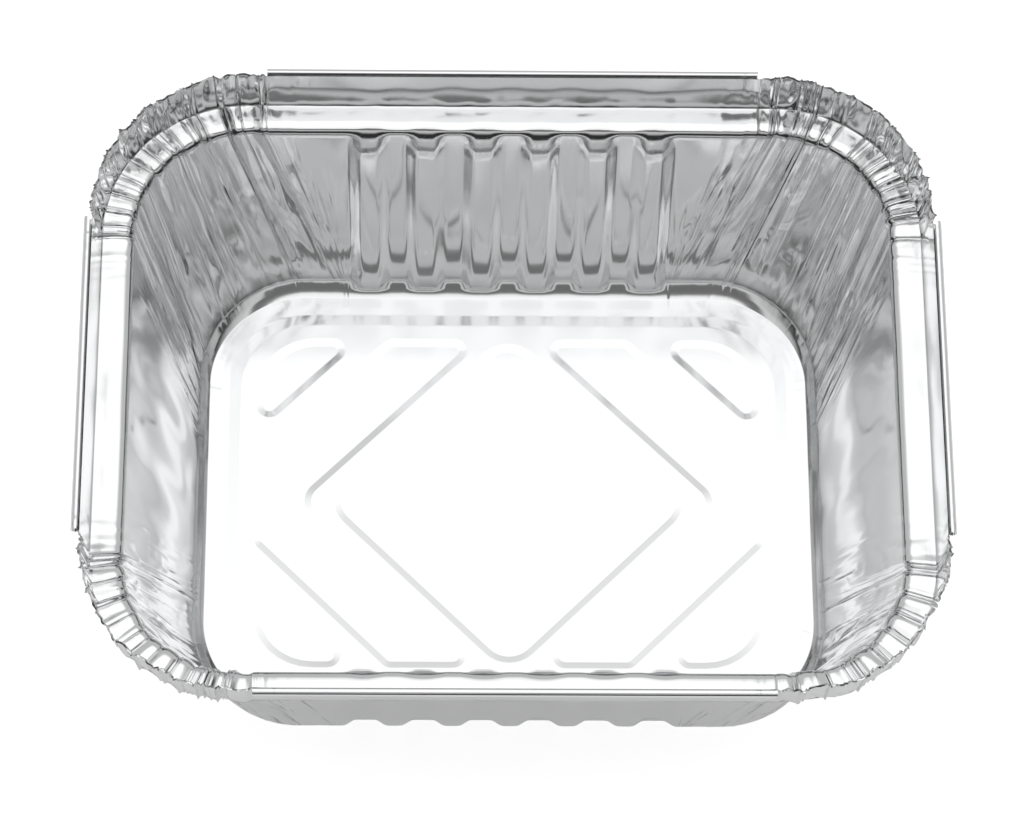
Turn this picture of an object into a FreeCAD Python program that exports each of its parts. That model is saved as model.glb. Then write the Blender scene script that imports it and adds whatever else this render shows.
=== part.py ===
"""Aluminium foil tray, pressed from one blank of thin foil.

The tray is one sheet that keeps one thickness all over: an embossed base, four leaning walls with
inward ribs on the long ones, a lid ledge, an upstand, and a rim that is rolled outwards along each
straight side.  Round the corners there is too much foil, so it lies in pleats and the rim ends in a
crimped lip instead of a curl.

Millimetres.  X runs along the tray, Y across it, Z up.  The origin is the middle of the base, on the
surface that the tray stands on.
"""
import FreeCAD, Part
import math
import os
import random

Vector = FreeCAD.Vector

# Driving dimensions of the whole tray, measured over the rolled rim
LENGTH = 146.0
WIDTH = 116.5
HEIGHT = 53.0
FOIL = 0.08

# Ledge that the lid lies on, and the upstand round it
RIM_DEPTH = 8.8
LEDGE_WIDTH = 5.2
UPSTAND_LEAN_ANGLE = 7.5
MOUTH_CORNER_RADIUS = 20.0
MOUTH_BEVEL = 0.5

# Walls: how far each leans out from its foot to the mouth, and the shelf that it stands on
END_WALL_RUN = 10.0
SIDE_WALL_RUN = 7.1
END_SHELF = 1.6
SIDE_SHELF = 2.9
SHELF_RISE = 1.6
BASE_CORNER_RADIUS = 17.5

# Rolled rim of the straight sides, and how far short of the corner's arc each roll stops
CURL_RADIUS = 0.7
CURL_OPENING_ANGLE = 60.0
CURL_STOP_LONG = 2.8
CURL_STOP_SHORT = 1.5

# Ribs pressed inwards on the long walls, as many as the flat of the wall's foot holds
RIB_PITCH = 10.0
RIB_CREST = 3.0
RIB_FLANK = 2.1
RIB_DEPTH = 1.4
RIB_RUN_OUT_FOOT = 0.9
RIB_RUN_OUT_TOP = 3.0

# Pleats of the corners, and how far they reach along the walls past the base's corner arc
PLEATS_PER_CORNER = 24
PLEAT_REACH = 3.2
PLEAT_DEPTH = 0.42
PLEAT_WANDER = 0.22
WALL_PLEAT_ROWS = 3
LIP_WIDTH = 0.95
LIP_RISE = 0.2

# Embossing of the base: a raised field with sunk panels between its ribs
BAND_WIDTH = 3.4
FIELD_SLOPE = 2.4
FIELD_RISE = 0.22
FRAME_RIB = 2.6
PANEL_DROP = 0.2
PANEL_SLOPE = 1.4
DIAMOND_STOP = 1.0
DIAMOND_ROUND = 6.0
DIAMOND_RIB = 1.8
CORNER_PANEL_LEG = 20.0
CORNER_PANEL_ROUND = 11.0
CORNER_BAR = 3.1
PANEL_ROUND = 2.4
ARC_STEPS = 4

HALF_FOIL = FOIL / 2
INSIDE = 1
OUTSIDE = -1
DIAGONAL = math.sqrt(2)
TURNS = [(1, 0), (0, 1), (-1, 0), (0, -1)]


def between(start, end, share):
    return start + (end - start) * share


def mitre(normal_a, normal_b):
    """Shift that moves a bend between two planes by half the foil, on the outward side."""
    total = normal_a + normal_b
    return total * (HALF_FOIL / (1 + normal_a.dot(normal_b)))


class Level:
    """One ring round the tray: a rounded rectangle at one height, flat in the middle of each side."""

    def __init__(self, half_x, half_y, radius, flat_x, flat_y, z, pleat):
        self.half_x = half_x
        self.half_y = half_y
        self.radius = radius
        self.flat_x = flat_x
        self.flat_y = flat_y
        self.z = z
        self.pleat = pleat

    def corner_point(self, share):
        """Plan point and outward direction at a share of the way round the corner, long side first."""
        straight_x = self.half_x - self.radius - self.flat_x
        arc = self.radius * math.pi / 2
        straight_y = self.half_y - self.radius - self.flat_y
        along = share * (straight_x + arc + straight_y)
        if along <= straight_x:
            return Vector(self.flat_x + along, self.half_y, 0), Vector(0, 1, 0)
        along -= straight_x
        if along >= arc:
            return Vector(self.half_x, self.half_y - self.radius - (along - arc), 0), Vector(1, 0, 0)
        angle = along / self.radius
        out = Vector(math.sin(angle), math.cos(angle), 0)
        centre = Vector(self.half_x - self.radius, self.half_y - self.radius, 0)
        return centre + out * self.radius, out


# Sizes that follow from the driving ones
RIM_ANGLE = math.radians(UPSTAND_LEAN_ANGLE)
LEDGE_HEIGHT = HEIGHT - RIM_DEPTH
UPSTAND_HEIGHT = RIM_DEPTH - FOIL - CURL_RADIUS * (1 - math.sin(RIM_ANGLE))
UPSTAND_LEAN = UPSTAND_HEIGHT * math.tan(RIM_ANGLE)
CURL_REACH = CURL_RADIUS * (1 + math.cos(RIM_ANGLE)) + HALF_FOIL
RIM_INSET = CURL_REACH + UPSTAND_LEAN + LEDGE_WIDTH
MOUTH_HALF_X = LENGTH / 2 - RIM_INSET
MOUTH_HALF_Y = WIDTH / 2 - RIM_INSET
SHELF_HALF_X = MOUTH_HALF_X - END_WALL_RUN
SHELF_HALF_Y = MOUTH_HALF_Y - SIDE_WALL_RUN
BASE_HALF_X = SHELF_HALF_X - END_SHELF
BASE_HALF_Y = SHELF_HALF_Y - SIDE_SHELF
CURL_HALF_LONG = MOUTH_HALF_X - MOUTH_CORNER_RADIUS - CURL_STOP_LONG
CURL_HALF_SHORT = MOUTH_HALF_Y - MOUTH_CORNER_RADIUS - CURL_STOP_SHORT
FLAT_FOOT_X = BASE_HALF_X - BASE_CORNER_RADIUS - PLEAT_REACH
FLAT_FOOT_Y = BASE_HALF_Y - BASE_CORNER_RADIUS - PLEAT_REACH
CURL_TURN = 360 - CURL_OPENING_ANGLE
RIB_FOOT = RIB_CREST + 2 * RIB_FLANK
RIB_COUNT = int((2 * FLAT_FOOT_X - RIB_FOOT) / RIB_PITCH) + 1
SHEET_Z = HALF_FOIL


def wall_level(height, pleat):
    """Ring on the wall, which is a flat slope from the shelf at its foot to the mouth."""
    share = (height - SHELF_RISE) / (LEDGE_HEIGHT - SHELF_RISE)
    return Level(
        between(SHELF_HALF_X, MOUTH_HALF_X, share),
        between(SHELF_HALF_Y, MOUTH_HALF_Y, share),
        between(BASE_CORNER_RADIUS, MOUTH_CORNER_RADIUS, share),
        between(FLAT_FOOT_X, CURL_HALF_LONG, share),
        between(FLAT_FOOT_Y, CURL_HALF_SHORT, share),
        SHEET_Z + height,
        pleat,
    )


def rim_level(out, height, pleat):
    """Ring outside the mouth, on the ledge, the upstand or the lip."""
    return Level(
        MOUTH_HALF_X + out,
        MOUTH_HALF_Y + out,
        MOUTH_CORNER_RADIUS + out,
        CURL_HALF_LONG,
        CURL_HALF_SHORT,
        SHEET_Z + LEDGE_HEIGHT + height,
        pleat,
    )


def tray_levels():
    """The rings from the base's edge to the lip, and the places of the ones that the sides use."""
    base = Level(
        BASE_HALF_X,
        BASE_HALF_Y,
        BASE_CORNER_RADIUS,
        FLAT_FOOT_X,
        FLAT_FOOT_Y,
        SHEET_Z,
        0,
    )
    high = LEDGE_HEIGHT - MOUTH_BEVEL
    levels = [base, wall_level(SHELF_RISE, 0.2)]
    for row in range(WALL_PLEAT_ROWS):
        share = (row + 1) / (WALL_PLEAT_ROWS + 1)
        levels.append(wall_level(between(SHELF_RISE, high, share), 0.55 + 0.45 * share))
    levels.append(wall_level(high, 0.8))
    levels.append(rim_level(MOUTH_BEVEL, 0, 0.5))
    levels.append(rim_level(LEDGE_WIDTH, 0, 0.45))
    levels.append(rim_level(LEDGE_WIDTH + UPSTAND_LEAN / 2, UPSTAND_HEIGHT / 2, 0.9))
    levels.append(rim_level(LEDGE_WIDTH + UPSTAND_LEAN, UPSTAND_HEIGHT, 1.0))
    lip_out = LEDGE_WIDTH + UPSTAND_LEAN + LIP_WIDTH
    levels.append(rim_level(lip_out, UPSTAND_HEIGHT + LIP_RISE, 1.25))
    names = ["edge", "low"] + ["row"] * WALL_PLEAT_ROWS + ["high", "mouth", "ledge", "upstand", "rim", "lip"]
    return levels, {name: place for place, name in enumerate(names)}


LEVELS, PLACE = tray_levels()
COLUMNS = 2 * PLEATS_PER_CORNER


def strip_normal(strip, out):
    """Outward normal of a strip between two rings, where the outward plan direction is out."""
    lower, upper = LEVELS[strip], LEVELS[strip + 1]
    if abs(out.y) > abs(out.x):
        run = upper.half_y - lower.half_y
    else:
        run = upper.half_x - lower.half_x
    rise = upper.z - lower.z
    length = math.hypot(run, rise)
    return out * (rise / length) + Vector(0, 0, -run / length)


def bend_shift(place, out):
    """Half the foil at a bend of the plain section, whose outward plan direction is out."""
    below = Vector(0, 0, -1) if place == 0 else strip_normal(place - 1, out)
    above = strip_normal(min(place, PLACE["rim"] - 1), out)
    return mitre(below, above)


class Corner:
    """The pleated foil round one corner, as columns of points on the middle of the foil."""

    def __init__(self, sign_x, sign_y, seed):
        self.sign = (sign_x, sign_y)
        chance = random.Random(seed)
        self.shares = [0.0]
        self.swings = [0.0]
        self.drifts = [0.0]
        for column in range(1, COLUMNS):
            wander = PLEAT_WANDER * (chance.random() - 0.5)
            self.shares.append((column + wander) / COLUMNS)
            direction = 1 if column % 2 else -1
            self.swings.append(direction * PLEAT_DEPTH * (0.45 + 0.55 * chance.random()))
            self.drifts.append(PLEAT_WANDER * (chance.random() - 0.5) / COLUMNS)
        self.shares.append(1.0)
        self.swings.append(0.0)
        self.drifts.append(0.0)
        self.middle = [[self.middle_point(c, p) for p in range(len(LEVELS))] for c in range(COLUMNS + 1)]
        shifts = self.shifts()
        self.skin = {
            side: [
                [self.placed(point + shift * -side) for point, shift in zip(*column)]
                for column in zip(self.middle, shifts)
            ]
            for side in (INSIDE, OUTSIDE)
        }

    def placed(self, point):
        return Vector(point.x * self.sign[0], point.y * self.sign[1], point.z)

    def plain(self, column, place):
        level = LEVELS[place]
        share = self.shares[column] + self.drifts[column] * place
        return level.corner_point(share)

    def middle_point(self, column, place):
        level = LEVELS[place]
        point, out = self.plain(column, place)
        push = bend_shift(place, out)
        push.normalize()
        return Vector(point.x, point.y, level.z) + push * (self.swings[column] * level.pleat)

    def shifts(self):
        """Outward shift of each point: by the plain section at the ends and the base, else by the pleats."""
        top = len(LEVELS) - 1
        sums = [[Vector(0, 0, 0) for _ in LEVELS] for _ in self.middle]
        for column in range(COLUMNS):
            for place in range(top):
                for triangle in split(column, place):
                    a, b, c = (self.middle[i][j] for i, j in triangle)
                    normal = (c - a).cross(b - a)
                    for i, j in triangle:
                        sums[i][j] = sums[i][j] + normal
        shifts = []
        for column, row in enumerate(sums):
            shifts.append([])
            for place, total in enumerate(row):
                if column in (0, COLUMNS) or place == 0:
                    shift = bend_shift(place, self.plain(column, place)[1])
                else:
                    shift = total.normalize() * HALF_FOIL
                shifts[-1].append(shift)
        return shifts

    def faces(self, side):
        """Triangles of one skin. The lip starts from nothing beside each curl."""
        rim = PLACE["rim"]
        skin = self.skin[side]
        made = []
        for column in range(COLUMNS):
            for place in range(rim):
                made += [[skin[i][j] for i, j in triangle] for triangle in split(column, place)]
            if column == 0:
                made.append([skin[0][rim], skin[1][rim], skin[1][rim + 1]])
            elif column == COLUMNS - 1:
                made.append([skin[column][rim], skin[column + 1][rim], skin[column][rim + 1]])
            else:
                made += [[skin[i][j] for i, j in triangle] for triangle in split(column, rim)]
        return made

    def edge_faces(self):
        """The cut edge of the foil along the lip."""
        inside, outside = (self.lip_line(side) for side in (INSIDE, OUTSIDE))
        made = []
        for step in range(COLUMNS):
            made.append([inside[step], inside[step + 1], outside[step]])
            made.append([inside[step + 1], outside[step + 1], outside[step]])
        return made

    def lip_line(self, side):
        rim, lip, skin = PLACE["rim"], PLACE["lip"], self.skin[side]
        return [skin[0][rim]] + [skin[c][lip] for c in range(1, COLUMNS)] + [skin[COLUMNS][rim]]


def split(column, place):
    """Two triangles between a column and the next, with the diagonal turned from one to the next."""
    a, b = (column, place), (column + 1, place)
    c, d = (column + 1, place + 1), (column, place + 1)
    if (column + place) % 2:
        return [(a, b, c), (a, c, d)]
    return [(a, b, d), (b, c, d)]


CORNERS = {
    (sign_x, sign_y): Corner(sign_x, sign_y, seed)
    for seed, (sign_x, sign_y) in enumerate([(1, 1), (1, -1), (-1, -1), (-1, 1)], start=11)
}


class Side:
    """One straight side. Points are given as along the side, outwards and up."""

    def __init__(self, long_side, sign):
        self.long_side = long_side
        self.sign = sign
        if long_side:
            self.ends = {end: CORNERS[(end, sign)] for end in (-1, 1)}
            self.end_column = 0
        else:
            self.ends = {end: CORNERS[(sign, end)] for end in (-1, 1)}
            self.end_column = COLUMNS

    def point(self, along, out, up):
        if self.long_side:
            return Vector(along, out * self.sign, up)
        return Vector(out * self.sign, along, up)

    def out_of(self, level):
        return level.half_y if self.long_side else level.half_x

    def end(self, side, which, place):
        """The point that this side shares with the corner at one of its ends."""
        return self.ends[which].skin[side][self.end_column][place]

    def end_column_points(self, side, which, first, last):
        step = 1 if last >= first else -1
        return [self.end(side, which, place) for place in range(first, last + step, step)]

    def strip(self, side, first, last, lower_points=(), upper_points=()):
        """Flat face between two places, with any points that its lower and upper edges pass through."""
        right = self.end_column_points(side, 1, first, last)
        left = self.end_column_points(side, -1, last, first)
        return list(lower_points) + right + list(upper_points)[::-1] + left

    def wall_point(self, side, along, level, inwards, normals):
        """Point of the ribbed wall. The normals are those of two faces that meet there."""
        shift = mitre(*normals)
        return self.point(
            along - side * shift.x,
            self.out_of(level) - inwards - side * shift.y,
            level.z - side * shift.z,
        )

    def wall_faces(self, side):
        edge, low, high, mouth = (PLACE[name] for name in ("edge", "low", "high", "mouth"))
        if not self.long_side:
            return [self.strip(side, edge, low), self.strip(side, low, high), self.strip(side, high, mouth)]
        below, wall, above = (strip_normal(strip, Vector(0, 1, 0)) for strip in (edge, low, high))
        slope = Vector(0, -wall.z, wall.y)
        foot_level, top_level = LEVELS[low], LEVELS[high]
        rib_low = wall_level(SHELF_RISE + RIB_RUN_OUT_FOOT, 0)
        rib_high = wall_level(LEDGE_HEIGHT - MOUTH_BEVEL - RIB_RUN_OUT_TOP, 0)
        bends, low_line, high_line, made = [], [], [], []
        for rib in range(RIB_COUNT):
            middle = (rib - (RIB_COUNT - 1) / 2) * RIB_PITCH
            columns = []
            for end in (-1, 1):
                flank = Vector(end * RIB_FLANK, RIB_DEPTH, 0).cross(slope) * -end
                flank.normalize()
                for half_width, inwards in ((RIB_FOOT / 2, 0), (RIB_CREST / 2, RIB_DEPTH)):
                    along = middle + end * half_width
                    columns.append(
                        [
                            self.wall_point(side, along, foot_level, 0, (below, wall)),
                            self.wall_point(side, along, rib_low, inwards, (wall, flank)),
                            self.wall_point(side, along, rib_high, inwards, (wall, flank)),
                            self.wall_point(side, along, top_level, 0, (wall, above)),
                        ]
                    )
            left_foot, left_crest, right_foot, right_crest = columns
            made += rib_faces(left_foot, left_crest, right_crest, right_foot)
            bends.append((left_foot, right_foot))
            for column in (left_foot, left_crest, right_crest, right_foot):
                low_line.append(column[0])
                high_line.append(column[3])
        made += self.panels_between(side, bends, low, high)
        made.append(self.strip(side, edge, low, upper_points=low_line))
        made.append(self.strip(side, high, mouth, lower_points=high_line))
        return made

    def panels_between(self, side, bends, low, high):
        """Flat faces of the wall from the end to the first rib, between the ribs, and to the other end."""
        made = [self.end_column_points(side, -1, low, high) + bends[0][0][::-1]]
        for rib, following in zip(bends, bends[1:]):
            made.append(rib[1] + following[0][::-1])
        made.append(bends[-1][1] + self.end_column_points(side, 1, high, low))
        return made

    def rim_faces(self, side):
        """Ledge and upstand."""
        return [
            self.strip(side, PLACE["mouth"], PLACE["ledge"]),
            self.strip(side, PLACE["ledge"], PLACE["rim"]),
        ]

    def curl(self):
        """Rolled rim: two part cylinders, their two cut ends and the foil's edge inside the roll."""
        rim = LEVELS[PLACE["rim"]]
        half = rim.flat_x if self.long_side else rim.flat_y
        start = Vector(0, self.out_of(rim), rim.z)
        away = strip_normal(PLACE["rim"] - 1, Vector(0, 1, 0))
        upwards = Vector(0, -away.z, away.y)
        centre = start + away * CURL_RADIUS

        def on_roll(radius, turned, along):
            angle = math.radians(turned)
            point = centre + (upwards * math.sin(angle) - away * math.cos(angle)) * radius
            return self.point(along, point.y, point.z)

        def roll_edge(radius, along):
            stops = [on_roll(radius, CURL_TURN * share, along) for share in (0, 0.5, 1)]
            return Part.Arc(*stops).toShape()

        outer, inner = CURL_RADIUS + HALF_FOIL, CURL_RADIUS - HALF_FOIL
        length = self.point(2 * half, 0, 0)
        made = [roll_edge(radius, -half).extrude(length) for radius in (outer, inner)]
        for along in (-half, half):
            rungs = [
                Part.makeLine(on_roll(outer, turned, along), on_roll(inner, turned, along))
                for turned in (0, CURL_TURN)
            ]
            arcs = [roll_edge(outer, along), roll_edge(inner, along)]
            made.append(Part.Face(Part.Wire(Part.__sortEdges__(arcs + rungs))))
        made.append(
            flat_face(
                [
                    on_roll(outer, CURL_TURN, -half),
                    on_roll(outer, CURL_TURN, half),
                    on_roll(inner, CURL_TURN, half),
                    on_roll(inner, CURL_TURN, -half),
                ]
            )
        )
        return made


def rib_faces(left_foot, left_crest, right_crest, right_foot):
    """One pressed rib: crest, two flanks, and an end that runs out into the wall above and below."""
    made = []
    for near, far in ((left_foot, left_crest), (right_foot, right_crest)):
        made.append([near[1], far[1], far[2], near[2]])
        made.append([near[0], far[0], far[1]])
        made.append([near[0], far[1], near[1]])
        made.append([near[3], far[3], far[2]])
        made.append([near[3], far[2], near[2]])
    for step in range(3):
        made.append([left_crest[step], right_crest[step], right_crest[step + 1], left_crest[step + 1]])
    return made


def flat_face(points, holes=()):
    """Flat face inside an outline, less any holes, which run the other way round."""
    wires = [Part.makePolygon(list(loop) + [loop[0]]) for loop in (points, *holes)]
    return Part.Face(wires) if holes else Part.Face(wires[0])


def unit(vector):
    return vector * (1 / vector.Length)


def corner_cuts(corners):
    """How far each corner's arc reaches along its edges. An arc is limited by the edges it lies on."""
    count = len(corners)
    points = [Vector(x, y, 0) for x, y, _ in corners]
    halves, cuts = [], []
    for place, here in enumerate(points):
        half = (points[place - 1] - here).getAngle(points[(place + 1) % count] - here) / 2
        halves.append(half)
        cuts.append(corners[place][2] / math.tan(half))
    shares = [1.0] * count
    for place, here in enumerate(points):
        after = (place + 1) % count
        room = 0.96 * (points[after] - here).Length / (cuts[place] + cuts[after])
        shares[place] = min(shares[place], room)
        shares[after] = min(shares[after], room)
    return points, halves, [cut * share for cut, share in zip(cuts, shares)]


def rounded(corners):
    """Outline with each corner (x, y, radius) rounded by an arc of a few straight steps."""
    points, halves, cuts = corner_cuts(corners)
    count = len(points)
    outline = []
    for place, here in enumerate(points):
        back = unit(points[place - 1] - here)
        forth = unit(points[(place + 1) % count] - here)
        half = halves[place]
        centre = here + unit(back + forth) * (cuts[place] / math.cos(half))
        start = here + back * cuts[place] - centre
        turn = (math.pi - 2 * half) * (1 if back.cross(forth).z < 0 else -1)
        for step in range(ARC_STEPS + 1):
            angle = turn * step / ARC_STEPS
            cos, sin = math.cos(angle), math.sin(angle)
            spoke = Vector(start.x * cos - start.y * sin, start.x * sin + start.y * cos, 0)
            outline.append(centre + spoke)
    return outline


def inset(outline, distance):
    """The outline with every edge moved inwards, for an outline that runs anticlockwise."""
    moved = []
    count = len(outline)
    for place, here in enumerate(outline):
        before = here - outline[place - 1]
        after = outline[(place + 1) % count] - here
        before.normalize()
        after.normalize()
        normal_a = Vector(-before.y, before.x, 0)
        normal_b = Vector(-after.y, after.x, 0)
        moved.append(here + (normal_a + normal_b) * (distance / (1 + normal_a.dot(normal_b))))
    return moved


def rounded_rectangle(half_x, half_y, radius):
    signs = [(1, 1), (-1, 1), (-1, -1), (1, -1)]
    return rounded([(sx * half_x, sy * half_y, radius) for sx, sy in signs])


def panel_outlines():
    """Outlines of the sunk panels: a diamond, a chevron on each side of it and four corner panels."""
    edge = BAND_WIDTH + FIELD_SLOPE + FRAME_RIB
    reach_x = BASE_HALF_X - edge
    reach_y = BASE_HALF_Y - edge
    diamond = min(reach_x, reach_y) - DIAMOND_STOP + DIAMOND_ROUND * (DIAGONAL - 1)
    inner = diamond + DIAMOND_RIB * DIAGONAL
    corner = reach_x + reach_y - CORNER_PANEL_LEG
    outer = corner - CORNER_BAR * DIAGONAL
    outlines = [rounded([(diamond * x, diamond * y, DIAMOND_ROUND) for x, y in TURNS])]
    small = PANEL_ROUND
    chevron = [
        (inner, 0, small),
        (inner - reach_y, -reach_y, small),
        (outer - reach_y, -reach_y, small),
        (reach_x, reach_x - outer, small),
        (reach_x, outer - reach_x, small),
        (outer - reach_y, reach_y, small),
        (inner - reach_y, reach_y, small),
    ]
    triangle = [
        (reach_x, corner - reach_x, small),
        (reach_x, reach_y, CORNER_PANEL_ROUND),
        (corner - reach_y, reach_y, small),
    ]
    for sign_x in (1, -1):
        if inner < reach_x < outer:
            outlines.append(mirrored(chevron, sign_x, 1))
        for sign_y in (1, -1):
            outlines.append(mirrored(triangle, sign_x, sign_y))
    return outlines


def mirrored(corners, sign_x, sign_y):
    """The rounded outline in another quarter of the base, still running anticlockwise."""
    placed = [(x * sign_x, y * sign_y, radius) for x, y, radius in corners]
    if sign_x * sign_y < 0:
        placed.reverse()
    return rounded(placed)


def at_height(outline, z):
    return [Vector(point.x, point.y, z) for point in outline]


def ring_faces(outer, inner):
    """Sloping faces between two outlines that have the same steps."""
    count = len(outer)
    return [
        [outer[i], outer[(i + 1) % count], inner[(i + 1) % count], inner[i]] for i in range(count)
    ]


def slope_shift(rise, run):
    """Sideways shift of both bends of a slope on each skin."""
    return HALF_FOIL * math.tan(math.atan2(rise, run) / 2)


def base_edge_loop(side):
    """The base's edge, which the corner columns and the straight sides share."""
    order = [((1, 1), 1), ((1, -1), -1), ((-1, -1), 1), ((-1, 1), -1)]
    loop = []
    for sign, step in order:
        column_points = [column[0] for column in CORNERS[sign].skin[side]]
        loop += column_points[::step]
    return loop


def base_faces(side):
    """Band that the tray stands on, slope to the raised field, and the sunk panels."""
    band_z = SHEET_Z + side * HALF_FOIL
    field_z = band_z + FIELD_RISE
    panel_z = field_z - PANEL_DROP
    field_shift = -side * slope_shift(FIELD_RISE, FIELD_SLOPE)
    panel_shift = side * slope_shift(PANEL_DROP, PANEL_SLOPE)
    start = rounded_rectangle(
        BASE_HALF_X - BAND_WIDTH,
        BASE_HALF_Y - BAND_WIDTH,
        BASE_CORNER_RADIUS - BAND_WIDTH,
    )
    low = at_height(inset(start, field_shift), band_z)
    high = at_height(inset(start, FIELD_SLOPE + field_shift), field_z)
    faces = [flat_face(base_edge_loop(side), [low])]
    slopes = ring_faces(low, high)
    holes = []
    for outline in panel_outlines():
        top = at_height(inset(outline, panel_shift), field_z)
        floor = at_height(inset(outline, PANEL_SLOPE + panel_shift), panel_z)
        holes.append(top[::-1])
        slopes += ring_faces(top, floor)
        faces.append(flat_face(floor))
    faces.append(flat_face(high, holes))
    return faces + [flat_face(points) for points in slopes]


def foil_tray():
    """The two skins of the foil and its cut edges, sewn into one solid."""
    sides = [Side(long_side, sign) for long_side in (True, False) for sign in (1, -1)]
    faces = []
    for skin in (INSIDE, OUTSIDE):
        faces += base_faces(skin)
        for corner in CORNERS.values():
            faces += [flat_face(points) for points in corner.faces(skin)]
        for side in sides:
            faces += [flat_face(points) for points in side.wall_faces(skin) + side.rim_faces(skin)]
    for corner in CORNERS.values():
        faces += [flat_face(points) for points in corner.edge_faces()]
    for side in sides:
        faces += side.curl()
    sheet = Part.makeCompound(faces)
    sheet.sewShape()
    solid = Part.Solid(sheet.Shells[0])
    if solid.Volume < 0:
        solid.reverse()
    return solid, len(sheet.Shells)


def main():
    os.makedirs("parts", exist_ok=True)
    tray, shells = foil_tray()
    box = tray.BoundBox
    print("shells", shells, "closed", tray.isClosed(), "valid", tray.isValid())
    print("faces", len(tray.Faces), "volume", round(tray.Volume, 2), "mass g", round(tray.Volume * 0.0027, 2))
    print("length", round(box.XLength, 3), "width", round(box.YLength, 3), "height", round(box.ZLength, 3))
    tray.exportStep("parts/foil_tray.step")


main()
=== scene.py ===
# %% [markdown]
# A foil tray is pressed in one stroke from a flat sheet of thin aluminium. The base is embossed so that
# it doesn't buckle, the long walls get ribs, and the rim is rolled along the four straight sides. Round
# the corners there is more foil than room, so it gathers into sharp pleats. We model it the same way:
# one flat grid is the blank, it is pressed into shape, its rim is rolled, and the foil gets its
# thickness last.

# %% The frame
import math
import random

import bpy
from mathutils import Matrix, Vector, noise


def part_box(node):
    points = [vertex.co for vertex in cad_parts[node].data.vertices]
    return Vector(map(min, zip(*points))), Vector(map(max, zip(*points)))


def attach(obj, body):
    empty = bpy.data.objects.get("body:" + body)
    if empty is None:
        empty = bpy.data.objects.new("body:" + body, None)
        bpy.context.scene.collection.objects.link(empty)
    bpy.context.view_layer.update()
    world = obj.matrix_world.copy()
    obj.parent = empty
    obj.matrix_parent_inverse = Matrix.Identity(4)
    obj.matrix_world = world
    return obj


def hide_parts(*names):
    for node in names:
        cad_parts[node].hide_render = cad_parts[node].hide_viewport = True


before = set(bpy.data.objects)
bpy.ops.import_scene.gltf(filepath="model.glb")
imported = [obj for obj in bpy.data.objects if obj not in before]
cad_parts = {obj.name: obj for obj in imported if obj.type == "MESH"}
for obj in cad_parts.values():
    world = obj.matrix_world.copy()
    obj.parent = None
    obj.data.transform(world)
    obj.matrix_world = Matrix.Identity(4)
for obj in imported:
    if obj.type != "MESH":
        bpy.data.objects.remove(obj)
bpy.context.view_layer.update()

# %% [markdown]
# The outer size comes from the frame, so the finished tray fills the same box. The other sizes are
# those of the pressing tool, in millimetres, named once each.

# %% Sizes of the pressing
MM = 0.001
low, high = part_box("foil_tray")
LENGTH = (high[0] - low[0]) / MM
WIDTH = (high[1] - low[1]) / MM
HEIGHT = (high[2] - low[2]) / MM
FOIL = 0.08

RIM_DEPTH = 8.8
LEDGE_WIDTH = 5.2
UPSTAND_LEAN_ANGLE = math.radians(7.5)
CURL_RADIUS = 0.7
CURL_TURN = math.radians(300)
MOUTH_CORNER_RADIUS = 20.0
BASE_CORNER_RADIUS = 17.5
END_WALL_RUN = 10.0
SIDE_WALL_RUN = 7.1
END_SHELF = 1.6
SIDE_SHELF = 2.9
SHELF_RISE = 1.6
CURL_STOP_LONG = 2.8
CURL_STOP_SHORT = 1.5

LEDGE_HEIGHT = HEIGHT - RIM_DEPTH
UPSTAND_HEIGHT = RIM_DEPTH - FOIL - CURL_RADIUS * (1 - math.sin(UPSTAND_LEAN_ANGLE))
UPSTAND_LEAN = UPSTAND_HEIGHT * math.tan(UPSTAND_LEAN_ANGLE)
CURL_REACH = CURL_RADIUS * (1 + math.cos(UPSTAND_LEAN_ANGLE)) + FOIL / 2
RIM_INSET = CURL_REACH + UPSTAND_LEAN + LEDGE_WIDTH
MOUTH_X = LENGTH / 2 - RIM_INSET
MOUTH_Y = WIDTH / 2 - RIM_INSET
BASE_X = MOUTH_X - END_WALL_RUN - END_SHELF
BASE_Y = MOUTH_Y - SIDE_WALL_RUN - SIDE_SHELF
CURL_HALF_LONG = MOUTH_X - MOUTH_CORNER_RADIUS - CURL_STOP_LONG
CURL_HALF_SHORT = MOUTH_Y - MOUTH_CORNER_RADIUS - CURL_STOP_SHORT
print("tray", round(LENGTH, 2), "x", round(WIDTH, 2), "x", round(HEIGHT, 2), "mm")

# %% [markdown]
# The section of the tray, from the base's edge to the rim, is a run of straight stretches with small
# rounded bends. Foil never bends to a perfectly sharp corner, and it is these little bends that catch
# the dark lines of a studio. Each stretch is cut into rows, with more of them where the shape changes.

# %% Rounded bends
BEND_ROWS = 3


def bend(before, corner, after, radius, steps=BEND_ROWS):
    """Points round a bend of a line, where the stretches either side are tangent to it."""
    back = (Vector(before) - Vector(corner)).normalized()
    forth = (Vector(after) - Vector(corner)).normalized()
    half = back.angle(forth) / 2
    centre = Vector(corner) + (back + forth).normalized() * (radius / math.sin(half))
    start = (Vector(corner) + back * (radius / math.tan(half)) - centre).normalized()
    end = (Vector(corner) + forth * (radius / math.tan(half)) - centre).normalized()
    points = []
    for step in range(steps + 1):
        spoke = start.slerp(end, step / steps).normalized()
        points.append(centre + spoke * radius)
    return points


print("points round a bend of the section", BEND_ROWS + 1)

# %% [markdown]
# Two small things keep the section from looking drawn with a ruler. The chamfer at the walls' foot sags
# in the middle, because foil springs back after the press. The ledge droops towards its outer edge,
# where the rolling tool pulled it down.

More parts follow.
